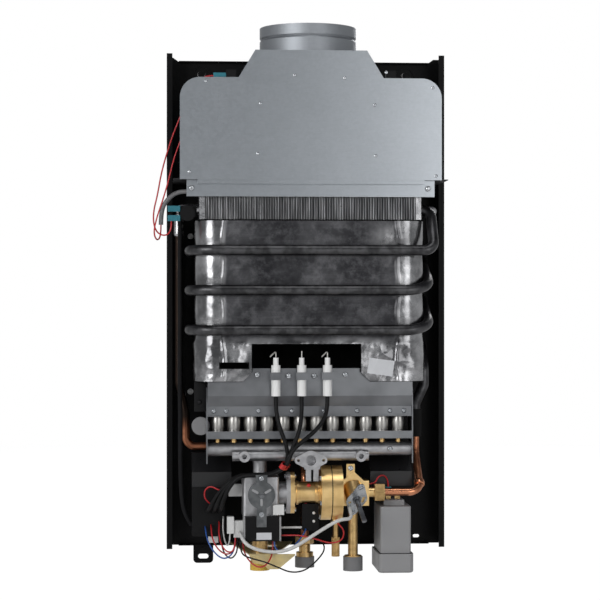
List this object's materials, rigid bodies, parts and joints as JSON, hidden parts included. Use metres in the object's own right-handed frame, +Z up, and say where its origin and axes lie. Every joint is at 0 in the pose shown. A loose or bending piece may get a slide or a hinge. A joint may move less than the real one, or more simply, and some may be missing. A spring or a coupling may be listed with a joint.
{
  "type": "tankless gas water heater",
  "caption": "Wall-hung tankless gas water heater without its front cover: flue hood, finned exchanger over a coil-wrapped chamber, burner, gas and water valves, igniter and battery box.",
  "frame": {"origin": "centre of the back tray's wall face, where the heater lies on the wall", "axes": "+Z up, +Y into the wall, so the open front looks along -Y; +X to the right of someone facing it"},
  "size_m": [0.3619, 0.1626, 0.662],
  "materials": {
    "black_paint": "satin black enamel",
    "galvanised": "galvanised sheet, blue-grey",
    "tinned_fins": "dull tinned fins",
    "tinned_tube": "dull tinned tube and plate",
    "tinned_shell": "bright tinned sheet, slightly crinkled",
    "burner_steel": "plain steel sheet",
    "cast_aluminium": "as-cast",
    "white_ceramic": "unglazed",
    "copper": "copper tube",
    "brass": "machined and cast brass",
    "black_rubber": "matt",
    "black_plastic": "fine matt",
    "red_plastic": "matt",
    "grey_plastic": "matt",
    "yellow_plastic": "matt",
    "yellow_zinc": "yellow passivated zinc",
    "teal_plastic": "soft",
    "white_plastic": "matt",
    "cell_jacket": "printed jacket, left plain",
    "lead_black": "silicone cover",
    "wire_white": "wire cover",
    "sleeve_grey": "sleeve",
    "wire_red": "wire cover",
    "wire_black": "wire cover",
    "wire_blue": "wire cover"
  },
  "bodies": {
    "cabinet": {"back_tray": "black_paint", "support_wings": "black_paint", "hood_body": "galvanised", "flue_shield": "galvanised", "flue_collar": "galvanised", "flue_baffle": "galvanised", "divider_shelf": "galvanised", "spindle_plate": "galvanised", "fin_block": "tinned_fins", "fin_end_plates": "tinned_tube", "heating_coil": "tinned_tube", "fin_tubes": "tinned_tube", "combustion_shell": "tinned_shell", "burner_front_panel": "burner_steel", "burner_cradle": "burner_steel", "burner_bars": "burner_steel", "electrode_bracket": "burner_steel", "electrode_pins": "burner_steel", "sheet_screws": "burner_steel", "gas_manifold": "cast_aluminium", "gas_valve_body": "cast_aluminium", "gas_valve_plate": "cast_aluminium", "electrode_ceramics": "white_ceramic", "hot_pipe": "copper", "cold_pipe": "copper", "water_valve_body": "brass", "water_valve_block": "brass", "union_nut": "brass", "pipe_unions": "brass", "gas_jets": "brass", "drain_tube": "brass", "battery_contacts": "brass", "pipe_insulation": "black_rubber", "igniter_module": "black_plastic", "micro_switch": "black_plastic", "gas_solenoid": "black_plastic", "thermostats": "black_plastic", "battery_box": "grey_plastic", "pressure_switch": "grey_plastic", "pipe_bracket": "yellow_zinc", "terminal_boots": "teal_plastic", "wire_connectors": "white_plastic", "battery_cells": "cell_jacket", "ht_leads": "lead_black", "harness_white": "wire_white", "wire_sleeves": "sleeve_grey", "harness_red": "wire_red", "thermostat_wires": "wire_red", "harness_black": "wire_black", "harness_blue": "wire_blue"},
    "gas_spindle": {"gas_spindle": "burner_steel"},
    "water_spindle": {"water_spindle": "burner_steel"},
    "push_rod": {"push_rod": "brass", "diaphragm": "black_rubber"},
    "switch_button": {"switch_button": "red_plastic"},
    "drain_knob": {"drain_knob": "brass"},
    "cold_cap": {"cold_cap": "grey_plastic"},
    "hot_cap": {"hot_cap": "grey_plastic"},
    "gas_cap": {"gas_cap": "yellow_plastic"},
    "battery_lid": {"battery_lid": "grey_plastic"}
  },
  "joints": [
    {"name": "gas_spindle_turn", "type": "hinge", "parent": "cabinet", "child": "gas_spindle", "pos_m": [-0.06, -0.14, -0.231], "axis": [0, -1, 0], "range_deg": [0, 90]},
    {"name": "water_spindle_turn", "type": "hinge", "parent": "cabinet", "child": "water_spindle", "pos_m": [0.054, -0.135, -0.237], "axis": [0.1902, -0.7307, -0.6556], "range_deg": [0, 270]},
    {"name": "push_rod_slide", "type": "slide", "parent": "cabinet", "child": "push_rod", "axis": [-1, 0, 0], "range_m": [0, 0.004], "stiffness_N_per_m": 400},
    {"name": "switch_button_press", "type": "slide", "parent": "cabinet", "child": "switch_button", "axis": [0, 0, -1], "range_m": [0, 0.0015]},
    {"name": "drain_knob_turn", "type": "hinge", "parent": "cabinet", "child": "drain_knob", "pos_m": [0.031, -0.11, -0.295], "axis": [0, 0, -1], "continuous": true},
    {"name": "cold_cap_pull", "type": "slide", "parent": "cabinet", "child": "cold_cap", "axis": [0, 0, -1], "range_m": [0, 0.025]},
    {"name": "hot_cap_pull", "type": "slide", "parent": "cabinet", "child": "hot_cap", "axis": [0, 0, -1], "range_m": [0, 0.025]},
    {"name": "gas_cap_pull", "type": "slide", "parent": "cabinet", "child": "gas_cap", "axis": [0, 0, -1], "range_m": [0, 0.025]},
    {"name": "battery_lid_swing", "type": "hinge", "parent": "cabinet", "child": "battery_lid", "pos_m": [0.1029, -0.0405, -0.307], "axis": [1, 0, 0], "range_deg": [0, 85]}
  ],
  "couplings": [
    {"joint": "switch_button_press", "follows": "push_rod_slide", "ratio": 0.375}
  ]
}
